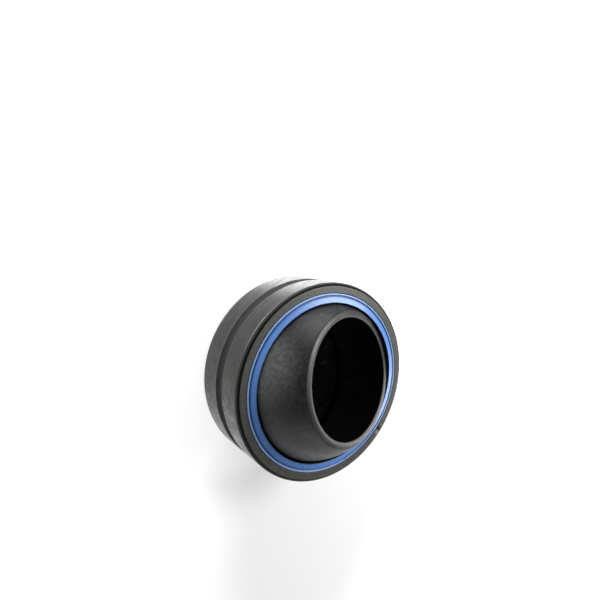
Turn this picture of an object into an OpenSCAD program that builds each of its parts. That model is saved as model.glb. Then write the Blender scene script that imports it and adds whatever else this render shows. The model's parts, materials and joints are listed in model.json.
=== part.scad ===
// Sealed radial spherical plain bearing with an extended inner ring.
// A ball-shaped inner ring sits in a fractured outer ring, with a lip seal at each face.
// The origin is the centre of the ball, and the two rings are tilted against each other about the X axis.
// The bearing lies on its end: the inner ring's land and the outer ring's rim both touch the ground.

/* [Main sizes] */
// Bore diameter of the inner ring
bore_d = 90; // [70:1:100]
// Outside diameter of the outer ring
outside_d = 150; // [135:1:170]
// Width of the outer ring
outer_w = 55; // [48:1:60]
// Thickness of the inner ring over that of the outer ring, at the middle
wall_ratio = 2; // [1.5:0.1:2.5]
// Wall of the inner ring at its ends, from the bore to the ball
end_wall = 4.18; // [3.8:0.01:8]
// Gap between the ball and its socket, on the radius
ball_play = 0.1; // [0.05:0.01:0.3]
// Angle between the axes of the two rings
tilt = 17.3; // [0:0.1:17.5]

/* [Outer ring] */
// Length of the chamfer at each rim, along the axis
rim_chamfer_l = 1.8; // [0.5:0.1:4]
// Depth of the chamfer at each rim, on the radius
rim_chamfer_h = 2.7; // [0.5:0.1:4]
// Width of the lubrication groove at the outside
groove_w = 10.4; // [7:0.1:16]
// Width of the lubrication groove at its bottom
groove_floor_w = 6.4; // [5.5:0.1:6.8]
// Depth of the lubrication groove
groove_depth = 2.2; // [0.5:0.1:4]
// Diameter of the lubrication holes from the groove to the socket
outer_hole_d = 5; // [2:0.5:5.5]
// Number of lubrication holes in the groove
outer_hole_count = 2; // [1:1:6]
// Angle of the first lubrication hole in the groove
outer_hole_angle = 128; // [0:1:360]
// Angle of the fracture that lets the ring spring open over the ball
fracture_angle = 24.5; // [0:0.5:90]
// Width of the fracture
fracture_w = 0.12; // [0.05:0.01:0.5]
// Diameter of the notch at each face that the fracture starts from
notch_d = 1.6; // [0.8:0.1:2.4]
// Distance of the notch's centre from the wall of the seal's seat
notch_room = 1.9; // [1.6:0.1:2.6]
// Depth of the notch, from the face
notch_depth = 6; // [2:0.5:10]

/* [Inner ring] */
// Chamfer at each end of the bore
bore_chamfer = 0.6; // [0.3:0.1:1.5]
// Width of the flat land around each end of the bore
land_w = 1.7; // [0.5:0.1:3]
// Slope of the chamfer from the land to the ball, from the end face
land_slope = 14; // [8:1:30]
// Width of the lubrication groove in the bore
bore_groove_w = 8; // [6:0.5:14]
// Depth of the lubrication groove in the bore
bore_groove_depth = 2; // [0.5:0.1:4]
// Diameter of the lubrication holes from the bore to the ball
inner_hole_d = 5; // [2:0.5:5.5]
// Number of lubrication holes in the bore
inner_hole_count = 2; // [1:1:6]

/* [Seals] */
// Room for the seal from the ball to the wall of its seat, at the face
seal_room = 8.4; // [8:0.1:9.5]
// Depth of the seat, from the face
seat_depth = 4.5; // [4.2:0.1:6]
// Clearance of the seal in its seat
seat_play = 0.1; // [0.05:0.01:0.2]
// Bevel at the mouth of the seat
seat_bevel = 0.35; // [0.1:0.05:0.8]
// Height of the snap rim that holds the seal in its seat
snap_h = 0.9; // [0.4:0.1:1.2]
// Width of the snap rim
snap_w = 1.6; // [1:0.1:2]
// Gap between the seal and the ball
lip_play = 0.25; // [0.15:0.05:0.4]
// Radius of the bead around the outside of the seal
bead_r = 0.75; // [0.5:0.05:0.9]
// Height of the bead above the face
bead_rise = 0.3; // [0:0.05:0.6]
// Width of the channel inside the bead
channel_w = 0.9; // [0.5:0.1:1.2]
// Depth of the channel, from the face
channel_depth = 0.8; // [0.3:0.1:1.2]
// Radius of the ridge inside the channel
ridge_r = 0.45; // [0.3:0.05:0.6]
// Height of the ridge above the face
ridge_rise = 0.4; // [0.1:0.05:0.8]
// Radius of the lip's rounded tip
tip_r = 0.5; // [0.3:0.05:0.6]
// Height of the lip's tip above the face
tip_rise = 1.2; // [0.8:0.1:1.8]
// Distance of the lip's tip from the ball, at the face
tip_room = 1.3; // [1.1:0.1:2]
// Depth at which the lip's inside meets the ball, from the face
contact_depth = 1.5; // [1:0.1:2]
// Radius of the grease pocket between the two lips
pocket_r = 0.8; // [0.4:0.1:1]

/* [Hidden] */
$fn = 240;
past = 1;

bore_r = bore_d / 2;
outside_r = outside_d / 2;
ball_r = bore_r + (outside_r - bore_r) * wall_ratio / (wall_ratio + 1);
face_z = outer_w / 2;
end_z = circle_x(ball_r, bore_r + end_wall);
inner_w = 2 * end_z;
rim_x = outside_r - rim_chamfer_h;
rim_z = face_z - rim_chamfer_l;

land_r = bore_r + bore_chamfer + land_w;
land_rise = end_z + land_r * tan(land_slope);
inner_lean = max(0, lean_on_rim(rim_x, face_z), lean_on_rim(outside_r, rim_z));
outer_lean = tilt - inner_lean;

ball_at_face = circle_x(ball_r, face_z);
seat_r = ball_at_face + seal_room;
seat_z = face_z - seat_depth;
snap_z = seat_z + (seat_depth - snap_w) / 2;
seal_ball_r = ball_r + lip_play;

bead_x = seat_r - seat_play - bead_r;
bead_z = face_z + bead_rise - bead_r;
ridge_x = bead_x - bead_r - channel_w - ridge_r;
ridge_z = face_z + ridge_rise - ridge_r;
tip_x = ball_at_face + tip_room + tip_r;
tip_z = face_z + tip_rise - tip_r;
lip_slope = atan2(tip_z - ridge_z, ridge_x - tip_x);
contact_z = face_z - contact_depth;
contact_x = circle_x(seal_ball_r, contact_z);
pocket_z = (contact_z + seat_z) / 2;

// Distance of a circle from one axis through its centre, at this distance from the other axis
function circle_x(radius, height) = sqrt(radius * radius - height * height);

// Lean of the inner ring at which its land and this edge of the outer ring are equally low
function lean_on_rim(radius, height) = atan2(
  radius * sin(tilt) + height * cos(tilt) - end_z,
  radius * cos(tilt) - height * sin(tilt) + land_r
);

// Places its children in the frame of the leaning inner ring
module on_inner_axis() {
  rotate([-inner_lean, 0, 0]) children();
}

// Places its children in the frame of the leaning outer ring
module on_outer_axis() {
  rotate([outer_lean, 0, 0]) children();
}

// Draws its children at the front face and again at the rear face
module both_faces() {
  children();
  mirror([0, 0, 1]) children();
}

// Radial drill holes evenly spaced around the axis
module radial_holes(diameter, count, first_angle) {
  for (i = [0 : count - 1])
    rotate([0, 0, first_angle + i * 360 / count])
      rotate([0, 90, 0])
        cylinder(d = diameter, h = outside_d);
}

// Turned body of the outer ring, with a chamfer at each rim and the lubrication groove
module outer_blank() {
  floor_x = outside_r - groove_depth;
  rotate_extrude()
    polygon([
      [bore_r, -face_z],
      [rim_x, -face_z],
      [outside_r, -rim_z],
      [outside_r, -groove_w / 2],
      [floor_x, -groove_floor_w / 2],
      [floor_x, groove_floor_w / 2],
      [outside_r, groove_w / 2],
      [outside_r, rim_z],
      [rim_x, face_z],
      [bore_r, face_z],
    ]);
}

// Room for the front seal: a stepped seat with a snap groove and a bevelled mouth
module seal_seat() {
  snap_x = seat_r + snap_h;
  rotate_extrude()
    polygon([
      [bore_r, seat_z],
      [seat_r, seat_z],
      [seat_r, snap_z],
      [snap_x, snap_z],
      [snap_x, snap_z + snap_w],
      [seat_r, snap_z + snap_w],
      [seat_r, face_z - seat_bevel],
      [seat_r + seat_bevel + past, face_z + past],
      [bore_r, face_z + past],
    ]);
}

// Fracture through one side of the ring, with the notch it starts from at each face
module fracture() {
  rotate([0, 0, fracture_angle]) {
    translate([0, -fracture_w / 2, -outer_w])
      cube([outside_d, fracture_w, 2 * outer_w]);
    both_faces()
      translate([seat_r + notch_room, 0, face_z - notch_depth])
        cylinder(d = notch_d, h = notch_depth + past);
  }
}

// Section of the front seal, with radius along X and height along Y
module seal_section() {
  wall_x = bead_x + bead_r;
  foot_z = seat_z + seat_play;
  snap_x = seat_r + snap_h - seat_play;
  lip_side = [sin(lip_slope), cos(lip_slope)];
  difference() {
    union() {
      polygon([
        [contact_x, foot_z],
        [wall_x, foot_z],
        [wall_x, snap_z + seat_play],
        [snap_x, snap_z + seat_play],
        [snap_x, snap_z + snap_w - seat_play],
        [wall_x, snap_z + snap_w - seat_play],
        [wall_x, bead_z],
        [bead_x - bead_r, bead_z],
        [bead_x - bead_r, face_z - channel_depth],
        [ridge_x + ridge_r, face_z - channel_depth],
        [ridge_x + ridge_r, ridge_z],
        [ridge_x + ridge_r * lip_side[0], ridge_z + ridge_r * lip_side[1]],
        [tip_x + tip_r * lip_side[0], tip_z + tip_r * lip_side[1]],
        [tip_x - tip_r, tip_z],
        [contact_x, contact_z],
      ]);
      translate([bead_x, bead_z])
        circle(r = bead_r);
      translate([ridge_x, ridge_z])
        circle(r = ridge_r);
      translate([tip_x, tip_z])
        circle(r = tip_r);
    }
    circle(r = seal_ball_r);
    translate([circle_x(seal_ball_r, pocket_z), pocket_z])
      circle(r = pocket_r);
  }
}

module seal() {
  rotate_extrude()
    seal_section();
}

module outer_ring() {
  color("dimgray")
    on_outer_axis()
      difference() {
        outer_blank();
        sphere(r = ball_r + ball_play);
        both_faces()
          seal_seat();
        radial_holes(outer_hole_d, outer_hole_count, outer_hole_angle);
        fracture();
      }
}

module inner_ring() {
  groove_x = bore_r + bore_groove_depth;
  mouth_x = bore_r + bore_chamfer;
  color("darkslategray")
    on_inner_axis()
      difference() {
        intersection() {
          sphere(r = ball_r);
          cylinder(r = ball_r + past, h = inner_w, center = true);
          both_faces()
            translate([0, 0, -past])
              cylinder(r1 = (land_rise + past) / tan(land_slope), r2 = 0, h = land_rise + past);
        }
        cylinder(r = bore_r, h = inner_w + 2 * past, center = true);
        cylinder(r = groove_x, h = bore_groove_w, center = true);
        both_faces()
          translate([0, 0, end_z - bore_chamfer])
            cylinder(r1 = bore_r, r2 = mouth_x + past, h = bore_chamfer + past);
        radial_holes(inner_hole_d, inner_hole_count, 0);
      }
}

module front_seal() {
  color("royalblue")
    on_outer_axis()
      seal();
}

module rear_seal() {
  color("royalblue")
    on_outer_axis()
      mirror([0, 0, 1])
        seal();
}

outer_ring();
inner_ring();
front_seal();
rear_seal();
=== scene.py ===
"""Looks of a sealed spherical plain bearing: dark phosphated rings and blue lip seals."""
import json
import math

import bmesh
import bpy
from mathutils import Matrix, Vector


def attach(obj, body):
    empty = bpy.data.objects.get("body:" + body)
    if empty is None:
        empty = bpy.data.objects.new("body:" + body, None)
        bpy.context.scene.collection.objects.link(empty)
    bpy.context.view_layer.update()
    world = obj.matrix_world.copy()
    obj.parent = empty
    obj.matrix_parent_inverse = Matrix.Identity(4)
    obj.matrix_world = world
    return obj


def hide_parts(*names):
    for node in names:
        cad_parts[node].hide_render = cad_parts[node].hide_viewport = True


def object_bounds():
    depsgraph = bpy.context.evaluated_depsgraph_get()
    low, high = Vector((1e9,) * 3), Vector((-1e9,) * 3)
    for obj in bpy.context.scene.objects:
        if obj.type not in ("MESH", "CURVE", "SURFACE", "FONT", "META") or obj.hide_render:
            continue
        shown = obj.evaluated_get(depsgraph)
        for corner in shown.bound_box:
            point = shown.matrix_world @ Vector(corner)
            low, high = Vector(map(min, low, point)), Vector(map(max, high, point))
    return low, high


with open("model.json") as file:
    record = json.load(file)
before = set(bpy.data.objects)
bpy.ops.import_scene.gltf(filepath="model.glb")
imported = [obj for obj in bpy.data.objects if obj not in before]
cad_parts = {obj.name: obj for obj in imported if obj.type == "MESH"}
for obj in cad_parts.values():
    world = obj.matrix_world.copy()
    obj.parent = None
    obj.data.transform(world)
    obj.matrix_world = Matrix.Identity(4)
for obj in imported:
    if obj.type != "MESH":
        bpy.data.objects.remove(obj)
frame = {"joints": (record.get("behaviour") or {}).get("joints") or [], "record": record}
cad_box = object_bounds()

# Sizes in millimetres, each ring in its own frame with its axis along Z
MM = 0.001
# Steps of a full turn
STEPS = 288
BORE_R, OUTSIDE_R, BALL_R, SOCKET_R = 45.0, 75.0, 65.0, 65.1
FACE_Z, END_Z = 27.5, 42.5
RIM_R, RIM_Z = 72.3, 25.7
GROOVE_HALF, GROOVE_FLOOR_HALF, GROOVE_R = 5.2, 3.2, 72.8
LAND_R, LAND_SLOPE, BORE_CHAMFER = 47.3, math.radians(14), 0.6
BORE_GROOVE_R, BORE_GROOVE_HALF = 47.0, 4.0
OIL_HOLE_R, SINK_DEPTH, SINK_RISE = 2.5, 0.5, 1.0
SEAT_R, SEAT_Z, SEAT_BEVEL = 67.297, 23.0, 0.35
SNAP_R, SNAP_LOW, SNAP_HIGH = 68.197, 24.45, 26.05
CRACK_AT, CRACK_W, NOTCH_R, NOTCH_AT, NOTCH_DEPTH = 24.5, 0.12, 0.8, 69.197, 6.0
OUTER_HOLES_AT = 128.0
# How far a drill runs past a wall
PAST = 5.0

# Section of a seal: its play in the seat, and the places and radii of its bead, channel, ridge and lip
SEAL_PLAY = 0.1
SEAL_WALL_R = SEAT_R - SEAL_PLAY
SEAL_FOOT_R, CONTACT_Z = 59.846, 26.0
BEAD_R, BEAD_Z = 0.75, 27.05
BEAD_AT = SEAL_WALL_R - BEAD_R
CHANNEL_AT, CHANNEL_Z = 65.1, 26.7
RIDGE_R, RIDGE_AT, RIDGE_Z, RIDGE_SWING = 0.45, 64.347, 27.45, 78
TIP_R, TIP_AT, TIP_Z = 0.5, 60.697, 28.2
LIP_SLOPE = 11.6

# Places of wear, of a darker stretch and of a pale patch that is partly a painted pool of light: along
# the outside from the side across the crack, on the face and on the ball
UNROLLED_R = 70.0
POLISHED_AT, POLISHED_FLAT, POLISHED_REACH = -60.0, 16.0, 40.0
SCUFFED_AT, SCUFFED_REACH = 82.0, 56.0
DARKER_STRETCH_AT, DARKER_STRETCH_REACH = -2.0, 36.0
CHIP_AT, CHIP_REACH = (-70.4, 3.4), 2.4
BLOOM_AND_LIGHT_AT, BLOOM_AND_LIGHT_MIDDLE, BLOOM_AND_LIGHT_REACH = (-43, -49, 10), 8.0, 36.0
# Faint smears in the bore: place round it and along it, slant in degrees, half length and half width
BORE_SMEARS = ((80.6, -18.5, 62, 9.6, 4.2), (105.4, -11.4, 20, 11.6, 1.2), (55.5, 4.9, 42, 3.6, 1.2),
               (58.5, 7.6, 42, 3.0, 1.2), (25.0, -6.3, 2, 7.7, 0.9))
# Rub marks: slant in degrees, width, length and a shift that keeps the layers apart
RUB_LAYERS = ((8, 0.5, 14.0, 3.0), (48, 1.1, 9.0, 47.0), (66, 0.7, 7.0, 91.0))

# Ground in metres: its half size, and the middle of the painted shadow below the bearing
GROUND_HALF = 8.0
PAINTED_SHADOW_AT = (0.165, -0.025, -0.0445)
# Lamps: name, place in metres, width, height, and power in watts
LAMPS = (("window", (-0.03, 0.28, 0.52), 0.28, 0.26, 3.3),
         ("rim", (0.43, 0.34, 0.235), 0.25, 0.25, 1.2),
         ("key", (-0.55, 0.25, 0.22), 0.5, 0.25, 2.5),
         ("bounce", (0.55, -0.40, 0.22), 0.5, 0.25, 0.7))
# Camera: its place in metres, its lens and sensor in millimetres, and the directions of its picture
CAMERA_AT, LENS, SENSOR_W = (-0.18964, -0.218162, 0.258037), 29.286, 36.0
RIGHT = Vector((0.328499, 0.600959, 0.728654))
UP = Vector((-0.874297, 0.485352, -0.006136))
TOWARDS = Vector((-0.357342, -0.635045, 0.684854))


def lean_of(axis):
    """Angle about X that a ring's axis leans by."""
    return math.atan2(-axis[1], axis[2])


bore_axis = next(m["axis"] for m in frame["record"]["mounts"] if m["name"] == "bore")
outer_axis = next(j["axis"] for j in frame["joints"] if j["name"] == "rotation")
INNER_LEAN = lean_of(bore_axis)
OUTER_LEAN = lean_of(outer_axis)


class Section:
    """The section of a turned piece, drawn corner by corner in millimetres of radius and height."""

    def __init__(self, radius, height, rounding=0.0):
        self.bm = bmesh.new()
        self.roundings = {}
        self.start = self.tip = self.corner(radius, height, rounding)

    def corner(self, radius, height, rounding):
        vert = self.bm.verts.new((radius * MM, 0, height * MM))
        if rounding:
            self.roundings.setdefault(rounding, []).append(vert)
        return vert

    def line(self, radius, height, rounding=0.0):
        """Draws a straight side to a corner with this rounding."""
        vert = self.corner(radius, height, rounding)
        self.bm.edges.new((self.tip, vert))
        self.tip = vert

    def arc(self, radius, height, degrees, steps):
        """Swings the tip about a centre, from the radius towards the height if degrees is positive."""
        made = bmesh.ops.spin(self.bm, geom=[self.tip], cent=(radius * MM, 0, height * MM),
                              axis=(0, -1, 0), angle=math.radians(degrees), steps=steps)
        self.tip = next(g for g in made["geom_last"] if isinstance(g, bmesh.types.BMVert))

    def turn(self, start=0.0, sweep=360.0):
        """Closes the section, rounds its corners and turns it about the axis."""
        bm = self.bm
        bm.edges.new((self.tip, self.start))
        for rounding, verts in self.roundings.items():
            bmesh.ops.bevel(bm, geom=verts, offset=rounding * MM, offset_type="OFFSET",
                            affect="VERTICES", segments=4, profile=0.5, material=-1)
        bmesh.ops.rotate(bm, verts=bm.verts, cent=(0, 0, 0),
                         matrix=Matrix.Rotation(math.radians(start), 3, "Z"))
        bmesh.ops.spin(bm, geom=bm.verts[:] + bm.edges[:], cent=(0, 0, 0), axis=(0, 0, 1),
                       angle=math.radians(sweep), steps=STEPS, use_merge=sweep == 360.0)
        bmesh.ops.remove_doubles(bm, verts=bm.verts, dist=1e-7)
        return bm


def piece_from(bm, name):
    """Makes an object of a finished mesh, with its faces turned outwards and shaded smooth."""
    bmesh.ops.recalc_face_normals(bm, faces=bm.faces)
    mesh = bpy.data.meshes.new(name)
    bm.to_mesh(mesh)
    bm.free()
    piece = bpy.data.objects.new(name, mesh)
    bpy.context.scene.collection.objects.link(piece)
    return piece


def cut_round(piece, places, foot_r, head_r, low, high):
    """Cuts a round or tapered hole along Z at each place, from the low to the high end."""
    bm = bmesh.new()
    for place in places:
        bmesh.ops.create_cone(bm, cap_ends=True, segments=40, radius1=foot_r * MM, radius2=head_r * MM,
                              depth=(high - low) * MM,
                              matrix=place @ Matrix.Translation((0, 0, (low + high) / 2 * MM)))
    cutter = piece_from(bm, piece.name + "_cutter")
    boolean = piece.modifiers.new("cut", "BOOLEAN")
    boolean.object = cutter
    boolean.solver = "MANIFOLD"
    settle(piece)
    bpy.data.meshes.remove(cutter.data)


def drill_oil_holes(piece, angles, low, high, mouth):
    """Drills along the radius at these angles, with a countersink at the mouth."""
    outwards = Matrix.Rotation(math.radians(90), 4, "Y")
    places = [Matrix.Rotation(math.radians(degrees), 4, "Z") @ outwards for degrees in angles]
    cut_round(piece, places, OIL_HOLE_R, OIL_HOLE_R, low, high)
    cut_round(piece, places, OIL_HOLE_R, OIL_HOLE_R + SINK_DEPTH + SINK_RISE,
              mouth - SINK_DEPTH, mouth + SINK_RISE)


def settle(piece):
    """Keeps what a piece's modifiers make as its own mesh."""
    made = piece.evaluated_get(bpy.context.evaluated_depsgraph_get())
    mesh = bpy.data.meshes.new_from_object(made)
    old = piece.data
    piece.modifiers.clear()
    piece.data = mesh
    bpy.data.meshes.remove(old)
    mesh.name = piece.name


def finish_piece(piece, lean, materials, region, body, node):
    """Shades a piece, gives each region its finish, leans it, hangs it on its body and hides its CAD
    node.
    """
    piece.data.shade_smooth()
    piece.data.set_sharp_from_angle(angle=math.radians(40))
    weighted = piece.modifiers.new("even_shading", "WEIGHTED_NORMAL")
    weighted.keep_sharp = True
    settle(piece)
    piece.data.materials.clear()
    for material in materials:
        piece.data.materials.append(material)
    for face in piece.data.polygons:
        face.material_index = region(face.center.xy.length / MM, abs(face.center.z) / MM)
    piece.data.transform(Matrix.Rotation(lean, 4, "X"))
    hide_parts(node)
    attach(piece, body)


def feed(tree, socket, value):
    """Links a socket to another one, or sets it to a plain value."""
    if isinstance(value, bpy.types.NodeSocket):
        tree.links.new(value, socket)
    elif value is not None:
        socket.default_value = value


def add(tree, kind, inputs=None, **settings):
    """Adds a shader node with its settings and inputs."""
    made = tree.nodes.new("ShaderNode" + kind)
    for name, value in settings.items():
        setattr(made, name, value)
    for name, value in (inputs or {}).items():
        feed(tree, made.inputs[name], value)
    return made


def calc(tree, operation, *values, clamp=False):
    """The result of a sum on values over the surface."""
    return add(tree, "Math", dict(enumerate(values)), operation=operation, use_clamp=clamp).outputs[0]


def times(tree, one, two):
    """The product of two values."""
    return calc(tree, "MULTIPLY", one, two)


def most(tree, *values):
    """The largest of some values."""
    largest = values[0]
    for value in values[1:]:
        largest = calc(tree, "MAXIMUM", largest, value)
    return largest


def least(tree, *values):
    """The smallest of some values."""
    smallest = values[0]
    for value in values[1:]:
        smallest = calc(tree, "MINIMUM", smallest, value)
    return smallest


def fade(tree, value, low, high, at_low=0.0, at_high=1.0):
    """A smooth step from one value to another."""
    made = add(tree, "MapRange", {"Value": value, "From Min": low, "From Max": high, "To Min": at_low,
                                  "To Max": at_high}, interpolation_type="SMOOTHSTEP")
    return made.outputs["Result"]


def near(tree, value, middle, reach, flat=0.0):
    """One at the middle and for a flat stretch, fading to zero at the reach on both sides."""
    away = calc(tree, "ABSOLUTE", calc(tree, "SUBTRACT", value, middle))
    return fade(tree, away, flat, reach, 1.0, 0.0)


def noise(tree, vector, scale, detail=3.0, roughness=0.5, distortion=0.0):
    """Cloudy values about one half."""
    made = add(tree, "TexNoise", {"Vector": vector, "Scale": scale, "Detail": detail,
                                  "Roughness": roughness, "Distortion": distortion})
    return made.outputs["Fac"]


def slanted(tree, vector, place, slant, length, width):
    """Coordinates on a rolled-out surface about a place, stretched along a slant in degrees."""
    made = add(tree, "Mapping", {"Vector": vector, "Location": place, "Scale": (length, width, 20),
                                 "Rotation": (0, 0, math.radians(slant))}, vector_type="TEXTURE")
    return made.outputs[0]


def distance(tree, one, two=(0, 0, 0)):
    """How far two points lie apart."""
    made = add(tree, "VectorMath", {0: one, 1: two}, operation="DISTANCE")
    return made.outputs["Value"]


def tint(tree, factor, one, two):
    """Blends two colours."""
    made = add(tree, "Mix", {0: factor, 6: one, 7: two}, data_type="RGBA")
    return made.outputs[2]


def new_group(name, inputs, outputs):
    """A node group with named inputs and outputs."""
    tree = bpy.data.node_groups.new(name, "ShaderNodeTree")
    for label, kind in inputs:
        tree.interface.new_socket(name=label, in_out="INPUT", socket_type="NodeSocket" + kind)
    for label, kind in outputs:
        tree.interface.new_socket(name=label, in_out="OUTPUT", socket_type="NodeSocket" + kind)
    return tree, tree.nodes.new("NodeGroupInput").outputs, tree.nodes.new("NodeGroupOutput").inputs


def use_group(tree, group, inputs):
    """Places a group in a tree and returns its outputs."""
    made = add(tree, "Group", node_tree=group)
    for name, value in inputs.items():
        feed(tree, made.inputs[name], value)
    return made.outputs


def make_ring_place():
    """Where a point lies on a ring: its radius, its height, and the surface rolled out flat."""
    tree, given, out = new_group("ring_place", [("Point", "Vector")],
                                 [("Radius", "Float"), ("Height", "Float"), ("Unrolled", "Vector"),
                                  ("Around", "Vector")])
    parts = add(tree, "SeparateXYZ", {0: given["Point"]}).outputs
    square = calc(tree, "ADD", times(tree, parts[0], parts[0]), times(tree, parts[1], parts[1]))
    radius = calc(tree, "SQRT", square)
    angle = calc(tree, "ARCTAN2", parts[1], parts[0])
    unrolled = add(tree, "CombineXYZ", {0: times(tree, angle, UNROLLED_R), 1: parts[2], 2: radius})
    around = add(tree, "CombineXYZ", {0: calc(tree, "DIVIDE", parts[0], radius),
                                      1: calc(tree, "DIVIDE", parts[1], radius)})
    tree.links.new(radius, out["Radius"])
    tree.links.new(parts[2], out["Height"])
    tree.links.new(unrolled.outputs[0], out["Unrolled"])
    tree.links.new(around.outputs[0], out["Around"])
    return tree


def make_turned_lines():
    """Fine lines round the axis, as a lathe leaves them."""
    tree, given, out = new_group("turned_lines", [("Around", "Vector"), ("Radius", "Float"),
                                                  ("Height", "Float"), ("Fineness", "Float")],
                                 [("Lines", "Float")])
    around = add(tree, "SeparateXYZ", {0: given["Around"]}).outputs
    place = add(tree, "CombineXYZ", {0: times(tree, around[0], 1.6), 1: times(tree, around[1], 1.6),
                                     2: times(tree, given["Height"], given["Fineness"])})
    outwards = times(tree, given["Radius"], given["Fineness"])
    made = add(tree, "TexNoise", {"Vector": place.outputs[0], "W": outwards, "Scale": 1.0,
                                  "Detail": 2.0, "Roughness": 0.6}, noise_dimensions="4D")
    tree.links.new(made.outputs["Fac"], out["Lines"])
    return tree


def make_mottle():
    """Blotches of two sizes, as handling and phosphating leave them."""
    tree, given, out = new_group("mottle", [("Point", "Vector"), ("Size", "Float")],
                                 [("Mask", "Float")])
    scale = calc(tree, "DIVIDE", 1.0, given["Size"])
    broad = noise(tree, given["Point"], scale, 4.0, 0.6, 0.4)
    small = noise(tree, given["Point"], times(tree, scale, 4.3), 4.0, 0.65)
    mix = calc(tree, "ADD", times(tree, broad, 0.65), times(tree, small, 0.35))
    tree.links.new(fade(tree, mix, 0.4, 0.62), out["Mask"])
    return tree


def make_scuffs():
    """Short, thin rub marks at a few slants over a surface that is rolled out flat."""
    tree, given, out = new_group("scuffs", [("Unrolled", "Vector"), ("Amount", "Float")],
                                 [("Mask", "Float")])
    start = calc(tree, "SUBTRACT", 0.70, times(tree, given["Amount"], 0.14))
    layers = []
    for slant, width, length, shift in RUB_LAYERS:
        place = slanted(tree, given["Unrolled"], (shift, shift, 0), slant, length, width)
        streak = noise(tree, place, 1.0, 2.0, 0.5, 0.3)
        layers.append(fade(tree, streak, start, calc(tree, "ADD", start, 0.15)))
    tree.links.new(most(tree, *layers), out["Mask"])
    return tree


ring_place = make_ring_place()
turned_lines = make_turned_lines()
mottle = make_mottle()
scuffs = make_scuffs()


def turned(tree, place, fineness):
    """Turned lines of some fineness at a place on a ring."""
    return use_group(tree, turned_lines, {"Around": place["Around"], "Radius": place["Radius"],
                                          "Height": place["Height"], "Fineness": fineness})["Lines"]


def blotches(tree, point, size):
    """Blotches of about this size."""
    return use_group(tree, mottle, {"Point": point, "Size": size})["Mask"]


def rubs(tree, place, amount):
    """Rub marks at a place on a ring, more of them where the amount is larger."""
    return use_group(tree, scuffs, {"Unrolled": place["Unrolled"], "Amount": amount})["Mask"]


def new_material(name, lean, spin=0.0):
    """A material with its shader, and the surface's points in the ring's own frame in millimetres."""
    material = bpy.data.materials.new(name)
    material.use_nodes = True
    tree = material.node_tree
    tree.nodes.clear()
    shader = add(tree, "BsdfPrincipled")
    output = add(tree, "OutputMaterial", {"Surface": shader.outputs[0]})
    output.is_active_output = True
    point = add(tree, "Mapping", {"Vector": add(tree, "TexCoord").outputs["Object"],
                                  "Rotation": (-lean, 0, math.radians(spin)),
                                  "Scale": (1 / MM, 1 / MM, 1 / MM)})
    return material, tree, shader.inputs, point.outputs[0]


def bump(tree, height, strength, depth):
    """A normal that follows small heights."""
    made = add(tree, "Bump", {"Height": height, "Strength": strength, "Distance": depth})
    return made.outputs[0]


def make_land_steel():
    """Outside of the outer ring: dark phosphate, rubbed bright on one side and scuffed on another, with
    painted edge highlights and painted shade at the rim.
    """
    material, tree, shader, point = new_material("land_steel", OUTER_LEAN, 180 - CRACK_AT)
    place = use_group(tree, ring_place, {"Point": point})
    height = calc(tree, "ABSOLUTE", place["Height"])
    along = add(tree, "SeparateXYZ", {0: place["Unrolled"]}).outputs[0]
    lines = turned(tree, place, 1.4)
    patches = blotches(tree, point, 15.0)
    grain = blotches(tree, point, 4.0)
    smudge, smear = (noise(tree, slanted(tree, place["Unrolled"], (0, 0, 0), slant, length, width),
                           1.0, 6.0, 0.6, 0.5)
                     for slant, length, width in ((20, 14.0, 3.6), (50, 12.0, 4.0)))
    polished = near(tree, along, POLISHED_AT, POLISHED_REACH, POLISHED_FLAT)
    handled = near(tree, along, SCUFFED_AT, SCUFFED_REACH)
    darker_stretch = near(tree, along, DARKER_STRETCH_AT, DARKER_STRETCH_REACH)

    # Bare steel: wiped and smeared zones and rub marks, with painted highlights as light lines near the
    # rim and beside the groove
    wiped = times(tree, polished, fade(tree, smudge, 0.3, 0.7, 0.95, 0.45))
    smeared = times(tree, handled, fade(tree, smear, 0.46, 0.66, 0.0, 0.42))
    worn = calc(tree, "ADD", wiped, smeared, clamp=True)
    rub = rubs(tree, place, most(tree, times(tree, patches, 0.25), handled, polished))
    strokes = times(tree, rub, fade(tree, handled, 0.0, 0.6, 0.12, 0.65))
    # Painted highlight: a light line on the land near the rim, in the darker stretch only
    corner = times(tree, near(tree, height, RIM_Z - 1.1, 0.4), darker_stretch)
    # Painted highlight: a faint light line beside the groove
    groove_edge_highlight = times(tree, near(tree, height, GROOVE_HALF + 0.3, 0.6), 0.25)
    bare_and_edge_highlights = most(tree, worn, strokes, corner, groove_edge_highlight)
    bare_and_edge_highlights = times(tree, bare_and_edge_highlights, fade(tree, height, RIM_Z - 0.8, RIM_Z - 0.5, 1.0, 0.2))

    colour = tint(tree, patches, (0.050, 0.050, 0.046, 1), (0.086, 0.087, 0.082, 1))
    # A darker stretch along the land
    colour = tint(tree, times(tree, darker_stretch, 0.85), colour, (0.022, 0.022, 0.020, 1))
    # Painted shade: the land darkens towards the rim's edge
    at_rim = fade(tree, height, RIM_Z - 0.9, RIM_Z - 0.6, 0.0, 0.6)
    colour = tint(tree, at_rim, colour, (0.034, 0.034, 0.031, 1))
    colour = tint(tree, fade(tree, lines, 0.42, 0.7, 0.0, 0.35), colour, (0.13, 0.131, 0.124, 1))
    colour = tint(tree, bare_and_edge_highlights, colour, (0.55, 0.555, 0.55, 1))
    feed(tree, shader["Base Color"], colour)
    feed(tree, shader["Metallic"], bare_and_edge_highlights)
    smooth = fade(tree, bare_and_edge_highlights, 0.0, 1.0, 0.32, 0.28)
    feed(tree, shader["Roughness"], calc(tree, "ADD", smooth, times(tree, grain, 0.1)))
    shader["Specular IOR Level"].default_value = 0.2
    relief = calc(tree, "ADD", lines, times(tree, rub, 0.6))
    feed(tree, shader["Normal"], bump(tree, relief, 0.15, 0.00005))
    return material


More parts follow.
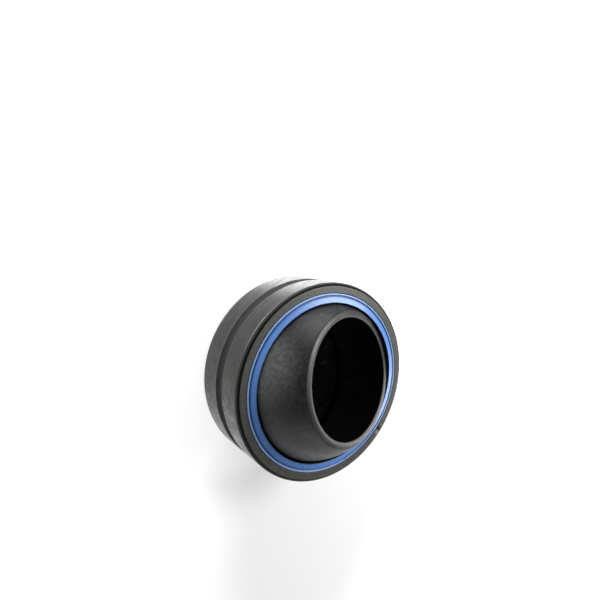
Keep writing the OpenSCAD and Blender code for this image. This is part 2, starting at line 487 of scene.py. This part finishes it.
def make_dark_steel():
    """Plain dark phosphate in the groove, with painted shade: near black at the rim chamfer's foot and
    in the socket and seats, and a darker band on the chamfer's shoulder.
    """
    material, tree, shader, point = new_material("dark_steel", OUTER_LEAN, 180 - CRACK_AT)
    place = use_group(tree, ring_place, {"Point": point})
    height = calc(tree, "ABSOLUTE", place["Height"])
    grain = blotches(tree, point, 2.5)
    lines = turned(tree, place, 2.0)
    # Painted shade: near black at the foot of the rim chamfer and in the socket and seats, and a darker
    # band on the chamfer's shoulder
    at_rim = fade(tree, height, RIM_Z - 0.4, RIM_Z)
    painted_foot_shade = times(tree, at_rim, fade(tree, place["Radius"], RIM_R + 1.9, RIM_R + 1.5))
    painted_shoulder_shade = times(tree, at_rim, fade(tree, place["Radius"], RIM_R + 1.5, RIM_R + 2.0))
    painted_hollow_shade = fade(tree, place["Radius"], RIM_R, RIM_R - 0.3)
    colour = tint(tree, grain, (0.068, 0.070, 0.067, 1), (0.092, 0.094, 0.090, 1))
    colour = tint(tree, times(tree, lines, 0.3), colour, (0.11, 0.112, 0.108, 1))
    colour = tint(tree, times(tree, painted_shoulder_shade, 0.8), colour, (0.065, 0.065, 0.060, 1))
    colour = tint(tree, most(tree, painted_foot_shade, painted_hollow_shade), colour, (0.003, 0.003, 0.003, 1))
    feed(tree, shader["Base Color"], colour)
    feed(tree, shader["Roughness"], calc(tree, "ADD", 0.55, times(tree, grain, 0.12)))
    shader["Specular IOR Level"].default_value = 0.12
    feed(tree, shader["Normal"], bump(tree, lines, 0.15, 0.00004))
    return material


def make_face_steel():
    """Turned faces of the outer ring: brownish phosphate with fine lines round the axis."""
    material, tree, shader, point = new_material("face_steel", OUTER_LEAN, 180 - CRACK_AT)
    flat = add(tree, "VectorMath", {0: point, 1: (1, 1, 0)}, operation="MULTIPLY").outputs["Vector"]
    place = use_group(tree, ring_place, {"Point": point})
    lines = turned(tree, place, 2.6)
    patches = blotches(tree, point, 12.0)
    grain = blotches(tree, point, 1.6)
    colour = tint(tree, fade(tree, lines, 0.3, 0.7),
                  (0.034, 0.0335, 0.029, 1), (0.076, 0.075, 0.067, 1))
    colour = tint(tree, times(tree, patches, 0.35), colour, (0.088, 0.086, 0.076, 1))
    colour = tint(tree, times(tree, grain, 0.4), colour, (0.13, 0.127, 0.112, 1))

    # Painted shade as a black edge beside the seal and as black in and round the notch and along the
    # crack, and a pale chip
    # Painted shade: a black edge in the gap beside the seal
    colour = tint(tree, near(tree, place["Radius"], SEAT_R, 0.6), colour, (0.006, 0.006, 0.006, 1))
    chip = fade(tree, distance(tree, flat, (*CHIP_AT, 0)), CHIP_REACH, 0.4, 0.0, 0.6)
    colour = tint(tree, chip, colour, (0.36, 0.35, 0.31, 1))
    notch = fade(tree, distance(tree, flat, (-NOTCH_AT, 0, 0)), NOTCH_R + 1.4, NOTCH_R + 0.9)
    across = add(tree, "SeparateXYZ", {0: flat}).outputs
    crack = times(tree, near(tree, across[1], 0.0, 0.45, 0.1), fade(tree, across[0], 0.0, -1.0))
    # Painted shade in and round the notch and along the crack
    notch_and_crack_shade = most(tree, notch, times(tree, crack, 0.9))
    colour = tint(tree, notch_and_crack_shade, colour, (0.002, 0.002, 0.002, 1))
    feed(tree, shader["Base Color"], colour)
    feed(tree, shader["Roughness"], calc(tree, "ADD", 0.33, times(tree, grain, 0.14)))
    shader["Specular IOR Level"].default_value = 0.5
    relief = calc(tree, "ADD", lines, times(tree, grain, 0.5))
    feed(tree, shader["Normal"], bump(tree, relief, 0.3, 0.00005))
    return material


def make_ball_steel():
    """Dark phosphated ball with lighter blotches, a pale blotchy patch on one side that is partly a
    painted pool of light, and a few rub marks.
    """
    material, tree, shader, point = new_material("ball_steel", INNER_LEAN)
    place = use_group(tree, ring_place, {"Point": point})
    lines = turned(tree, place, 1.2)
    patches = blotches(tree, point, 17.0)
    grain = blotches(tree, point, 2.4)
    rub = rubs(tree, place, times(tree, patches, 0.6))
    # Partly a painted pool of light, partly a pale blotchy patch, on one side of the ball
    bloom_and_light = times(tree, fade(tree, distance(tree, point, BLOOM_AND_LIGHT_AT), BLOOM_AND_LIGHT_REACH, BLOOM_AND_LIGHT_MIDDLE),
                  fade(tree, grain, 0.0, 1.0, 0.55, 1.0))
    colour = tint(tree, patches, (0.007, 0.0074, 0.008, 1), (0.026, 0.0272, 0.0282, 1))
    colour = tint(tree, times(tree, grain, 0.3), colour, (0.052, 0.054, 0.056, 1))
    colour = tint(tree, bloom_and_light, colour, (0.26, 0.265, 0.262, 1))
    colour = tint(tree, times(tree, lines, 0.15), colour, (0.06, 0.061, 0.062, 1))
    colour = tint(tree, times(tree, rub, 0.35), colour, (0.17, 0.172, 0.174, 1))
    feed(tree, shader["Base Color"], colour)
    feed(tree, shader["Roughness"], calc(tree, "ADD", 0.38, times(tree, grain, 0.16)))
    shader["Specular IOR Level"].default_value = 0.3
    relief = calc(tree, "ADD", lines, times(tree, grain, 0.7))
    feed(tree, shader["Normal"], bump(tree, relief, 0.22, 0.00005))
    return material


def make_end_steel():
    """Ground ends of the inner ring, greyer than the ball, with a painted highlight at the bore's edge.
    """
    material, tree, shader, point = new_material("end_steel", INNER_LEAN)
    place = use_group(tree, ring_place, {"Point": point})
    lines = turned(tree, place, 3.0)
    patches = blotches(tree, point, 10.0)
    colour = tint(tree, fade(tree, lines, 0.3, 0.7),
                  (0.018, 0.018, 0.017, 1), (0.033, 0.0335, 0.032, 1))
    colour = tint(tree, times(tree, patches, 0.3), colour, (0.066, 0.067, 0.064, 1))
    # Painted highlight: a light line at the edge of the bore chamfer
    edge = near(tree, place["Radius"], BORE_R + BORE_CHAMFER, 0.35)
    colour = tint(tree, times(tree, edge, 0.5), colour, (0.18, 0.183, 0.178, 1))
    feed(tree, shader["Base Color"], colour)
    feed(tree, shader["Roughness"], calc(tree, "ADD", 0.40, times(tree, patches, 0.1)))
    shader["Specular IOR Level"].default_value = 0.5
    feed(tree, shader["Normal"], bump(tree, lines, 0.25, 0.00004))
    return material


def make_bore_black():
    """Bore painted near black as the shade deep inside it, with a few faint smears and rub marks."""
    material, tree, shader, point = new_material("bore_black", INNER_LEAN)
    place = use_group(tree, ring_place, {"Point": point})
    patches = blotches(tree, point, 11.0)
    rub = rubs(tree, place, 0.1)
    marks = times(tree, rub, fade(tree, patches, 0.5, 1.0, 0.0, 0.3))
    broken = fade(tree, noise(tree, point, 0.35, 3.0), 0.35, 0.6, 0.3, 1.0)
    for along, height, slant, length, width in BORE_SMEARS:
        spot = slanted(tree, place["Unrolled"], (along, height, BORE_R), slant, length, width)
        marks = most(tree, marks, times(tree, broken, fade(tree, distance(tree, spot), 1.0, 0.2)))
    # Painted shade: near black all over, with lighter marks
    colour = tint(tree, marks, (0.001, 0.001, 0.001, 1), (0.10, 0.102, 0.104, 1))
    feed(tree, shader["Base Color"], colour)
    feed(tree, shader["Roughness"], calc(tree, "ADD", 0.5, times(tree, patches, 0.2)))
    shader["Specular IOR Level"].default_value = 0.02
    return material


def make_seal_rubber():
    """Satin blue elastomer with a painted highlight on the bead, painted shade in the channel and the
    crevices, and a faint moulded grain.
    """
    material, tree, shader, point = new_material("seal_rubber", OUTER_LEAN)
    radius = use_group(tree, ring_place, {"Point": point})["Radius"]
    patches = blotches(tree, point, 9.0)
    grain = blotches(tree, point, 0.8)
    # Painted highlight: the bead lighter
    bead_highlight = fade(tree, radius, BEAD_AT - BEAD_R - 0.1, BEAD_AT - BEAD_R + 0.2, 0.0, 0.9)
    # Painted shade: a darker channel, and near black at the seal's wall and on the inner side of the
    # lip's tip
    channel_shade = times(tree, near(tree, radius, CHANNEL_AT, 2.2, 0.3), 0.5)
    crevice_shade = most(tree, fade(tree, radius, SEAL_WALL_R - 0.15, SEAL_WALL_R),
                   fade(tree, radius, TIP_AT + 0.1, TIP_AT - 0.2))
    colour = tint(tree, patches, (0.112, 0.262, 0.640, 1), (0.128, 0.290, 0.680, 1))
    colour = tint(tree, times(tree, grain, 0.05), colour, (0.18, 0.30, 0.56, 1))
    colour = tint(tree, bead_highlight, colour, (0.36, 0.55, 0.88, 1))
    colour = tint(tree, channel_shade, colour, (0.030, 0.080, 0.260, 1))
    colour = tint(tree, crevice_shade, colour, (0.003, 0.006, 0.014, 1))
    feed(tree, shader["Base Color"], colour)
    feed(tree, shader["Roughness"], calc(tree, "ADD", 0.28, times(tree, grain, 0.05)))
    shader["Specular IOR Level"].default_value = 0.42
    feed(tree, shader["Normal"], bump(tree, grain, 0.04, 0.00004))
    return material


def build_outer_ring():
    """Outer ring: socket, seal seats, rim chamfers and groove, cracked through at one side."""
    edge = math.sqrt(SOCKET_R ** 2 - SEAT_Z ** 2)
    swing = math.degrees(math.atan2(SEAT_Z, edge))
    section = Section(edge, -SEAT_Z)
    section.arc(0, 0, 2 * swing, 32)
    for radius, height, rounding in (
            (SEAT_R, SEAT_Z, 0.2), (SEAT_R, SNAP_LOW, 0.1), (SNAP_R, SNAP_LOW, 0.1),
            (SNAP_R, SNAP_HIGH, 0.1), (SEAT_R, SNAP_HIGH, 0.1),
            (SEAT_R, FACE_Z - SEAT_BEVEL, 0.05), (SEAT_R + SEAT_BEVEL, FACE_Z, 0.12),
            (RIM_R, FACE_Z, 0.25), (OUTSIDE_R, RIM_Z, 0.3),
            (OUTSIDE_R, GROOVE_HALF, 0.25), (GROOVE_R, GROOVE_FLOOR_HALF, 0.6),
            (GROOVE_R, -GROOVE_FLOOR_HALF, 0.6), (OUTSIDE_R, -GROOVE_HALF, 0.25),
            (OUTSIDE_R, -RIM_Z, 0.3), (RIM_R, -FACE_Z, 0.25),
            (SEAT_R + SEAT_BEVEL, -FACE_Z, 0.12), (SEAT_R, SEAT_BEVEL - FACE_Z, 0.05),
            (SEAT_R, -SNAP_HIGH, 0.1), (SNAP_R, -SNAP_HIGH, 0.1),
            (SNAP_R, -SNAP_LOW, 0.1), (SEAT_R, -SNAP_LOW, 0.1), (SEAT_R, -SEAT_Z, 0.2)):
        section.line(radius, height, rounding)
    gap = math.degrees(CRACK_W / OUTSIDE_R)
    bm = section.turn(CRACK_AT + gap / 2, 360 - gap)
    bmesh.ops.edgeloop_fill(bm, edges=[e for e in bm.edges if e.is_boundary])
    ring = piece_from(bm, "outer_ring_turned")
    drill_oil_holes(ring, (OUTER_HOLES_AT, OUTER_HOLES_AT + 180), BALL_R - PAST, OUTSIDE_R + PAST,
                    GROOVE_R - 0.3)
    crack_turn = Matrix.Rotation(math.radians(CRACK_AT), 4, "Z")
    front = crack_turn @ Matrix.Translation((NOTCH_AT * MM, 0, 0))
    rear = front @ Matrix.Rotation(math.pi, 4, "X")
    cut_round(ring, [front, rear], NOTCH_R, NOTCH_R, FACE_Z - NOTCH_DEPTH, FACE_Z + PAST)
    return ring


def build_inner_ring():
    """Inner ring: ball, sloped and flat ends, and a bore with its lubrication groove and holes."""
    along = -LAND_R * math.cos(LAND_SLOPE) + END_Z * math.sin(LAND_SLOPE)
    along += math.sqrt(along ** 2 + BALL_R ** 2 - LAND_R ** 2 - END_Z ** 2)
    edge_r = LAND_R + along * math.cos(LAND_SLOPE)
    edge_z = END_Z - along * math.sin(LAND_SLOPE)
    mouth_r = BORE_R + BORE_CHAMFER
    section = Section(edge_r, -edge_z, 0.15)
    section.arc(0, 0, 2 * math.degrees(math.atan2(edge_z, edge_r)), 96)
    for radius, height, rounding in (
            (LAND_R, END_Z, 0.12), (mouth_r, END_Z, 0.12), (BORE_R, END_Z - BORE_CHAMFER, 0.12),
            (BORE_R, BORE_GROOVE_HALF, 0.3), (BORE_GROOVE_R, BORE_GROOVE_HALF, 0.4),
            (BORE_GROOVE_R, -BORE_GROOVE_HALF, 0.4), (BORE_R, -BORE_GROOVE_HALF, 0.3),
            (BORE_R, BORE_CHAMFER - END_Z, 0.12), (mouth_r, -END_Z, 0.12), (LAND_R, -END_Z, 0.12)):
        section.line(radius, height, rounding)
    ring = piece_from(section.turn(), "inner_ring_ground")
    drill_oil_holes(ring, (0, 180), BORE_R - PAST, BALL_R + PAST, BALL_R - 0.6)
    return ring


def build_seal(name, side):
    """Lip seal: a snap rim, a bead, a channel, a ridge and a lip that rises towards the ball."""
    foot_z = SEAT_Z + SEAL_PLAY
    snap_r, snap_low, snap_high = SNAP_R - SEAL_PLAY, SNAP_LOW + SEAL_PLAY, SNAP_HIGH - SEAL_PLAY
    slope = math.radians(LIP_SLOPE)
    section = Section(SEAL_FOOT_R, foot_z, 0.1)
    for radius, height, rounding in (
            (SEAL_WALL_R, foot_z, 0.15), (SEAL_WALL_R, snap_low, 0.1), (snap_r, snap_low, 0.2),
            (snap_r, snap_high, 0.2), (SEAL_WALL_R, snap_high, 0.1)):
        section.line(radius, height, rounding)
    section.line(SEAL_WALL_R, BEAD_Z)
    section.arc(BEAD_AT, BEAD_Z, 180, 14)
    section.line(BEAD_AT - BEAD_R, CHANNEL_Z, 0.35)
    section.line(RIDGE_AT + RIDGE_R, CHANNEL_Z, 0.35)
    section.line(RIDGE_AT + RIDGE_R, RIDGE_Z)
    section.arc(RIDGE_AT, RIDGE_Z, RIDGE_SWING, 8)
    section.line(TIP_AT + TIP_R * math.sin(slope), TIP_Z + TIP_R * math.cos(slope))
    section.arc(TIP_AT, TIP_Z, 90 + LIP_SLOPE, 10)
    section.line(SEAL_FOOT_R, CONTACT_Z, 0.1)
    bm = section.turn()
    if side < 0:
        bmesh.ops.scale(bm, vec=(1, 1, -1), verts=bm.verts)
    return piece_from(bm, name)


def build_floor():
    """White ground that keeps the bearing's soft shadow, with painted shadow round it, below it and
    where it touches.
    """
    bm = bmesh.new()
    bmesh.ops.create_grid(bm, x_segments=8, y_segments=8, size=GROUND_HALF)
    bmesh.ops.translate(bm, vec=(0, 0, cad_box[0].z), verts=bm.verts)
    floor = piece_from(bm, "floor")
    material = bpy.data.materials.new("white_ground")
    material.use_nodes = True
    tree = material.node_tree
    tree.nodes.clear()
    path = add(tree, "LightPath").outputs
    mirrored = most(tree, path["Is Glossy Ray"], path["Is Transmission Ray"])
    point = add(tree, "TexCoord").outputs["Object"]
    cloud = noise(tree, point, 3.0, 2.0)
    white = tint(tree, cloud, (0.48, 0.48, 0.48, 1), (0.52, 0.52, 0.52, 1))
    lit = add(tree, "BsdfDiffuse", {"Color": white})

    # The ground glows white to the camera, and less as painted shadow round the bearing, below it and
    # where they touch
    away = distance(tree, point)
    around = fade(tree, away, 0.10, 0.32, 0.84, 1.0)
    painted_shadow_below = fade(tree, distance(tree, point, PAINTED_SHADOW_AT), 0.07, 0.20, 0.43, 1.0)
    painted_contact_shadow = fade(tree, away, 0.045, 0.095, 0.2, 1.0)
    level = least(tree, around, painted_shadow_below, painted_contact_shadow)
    seen = most(tree, times(tree, path["Is Camera Ray"], level), mirrored)
    glow = add(tree, "Emission", {"Color": (1, 1, 1, 1), "Strength": seen})
    both = add(tree, "AddShader", {0: lit.outputs[0], 1: glow.outputs[0]})
    add(tree, "OutputMaterial", {"Surface": both.outputs[0]})
    floor.data.materials.append(material)


def build_world():
    """White surroundings that darken overhead, dimmer as a light than they look."""
    world = bpy.data.worlds.new("white_room")
    bpy.context.scene.world = world
    world.use_nodes = True
    tree = world.node_tree
    tree.nodes.clear()
    path = add(tree, "LightPath").outputs
    seen = most(tree, path["Is Camera Ray"], path["Is Glossy Ray"], path["Is Transmission Ray"])
    height = add(tree, "SeparateXYZ", {0: add(tree, "TexCoord").outputs["Generated"]}).outputs[2]
    look = times(tree, fade(tree, height, 0.08, 0.42, 1.0, 0.12),
                 fade(tree, seen, 0.0, 1.0, 0.45, 1.0))
    strength = most(tree, look, path["Is Camera Ray"])
    sky = add(tree, "Background", {"Color": (1, 1, 1, 1), "Strength": strength})
    add(tree, "OutputWorld", {"Surface": sky.outputs[0]})


def softbox(name, place, wide, tall, power):
    """A lamp that faces the bearing."""
    lamp = bpy.data.lights.new(name, "AREA")
    lamp.shape = "RECTANGLE"
    lamp.size = wide
    lamp.size_y = tall
    lamp.energy = power
    holder = bpy.data.objects.new(name, lamp)
    bpy.context.scene.collection.objects.link(holder)
    holder.location = place
    holder.rotation_euler = Vector(place).to_track_quat("Z", "Y").to_euler()


def build_camera():
    """Camera at the picture's place."""
    camera = bpy.data.cameras.new("camera")
    camera.lens = LENS
    camera.sensor_width = SENSOR_W
    camera.clip_start = 0.02
    holder = bpy.data.objects.new("camera", camera)
    bpy.context.scene.collection.objects.link(holder)
    turn = Matrix((RIGHT, UP, TOWARDS)).transposed().to_4x4()
    holder.matrix_world = Matrix.Translation(CAMERA_AT) @ turn
    bpy.context.scene.camera = holder


def outer_region(radius, height):
    """Lands, faces and dark hollows of the outer ring."""
    if radius > OUTSIDE_R - 0.2 and height < RIM_Z + 0.3:
        return 0
    return 1 if height > FACE_Z - 0.15 else 2


def inner_region(radius, height):
    """Ball, ends and bore of the inner ring."""
    if math.hypot(radius, height) > BALL_R - 0.12:
        return 0
    return 1 if height > END_Z - BORE_CHAMFER and radius > BORE_R + 0.1 else 2


def seal_region(radius, height):
    """A seal is rubber all over."""
    return 0


outer_steels = [make_land_steel(), make_face_steel(), make_dark_steel()]
inner_steels = [make_ball_steel(), make_end_steel(), make_bore_black()]
rubber = [make_seal_rubber()]
finish_piece(build_outer_ring(), OUTER_LEAN, outer_steels, outer_region,
             "outer_ring", "outer_ring")
finish_piece(build_inner_ring(), INNER_LEAN, inner_steels, inner_region,
             "inner_ring", "inner_ring")
for name, side in (("front_seal", 1), ("rear_seal", -1)):
    finish_piece(build_seal(name + "_moulded", side), OUTER_LEAN, rubber, seal_region,
                 "seals", name)
build_floor()
build_world()
for lamp in LAMPS:
    softbox(*lamp)
build_camera()
bpy.context.scene.view_settings.view_transform = "Standard"
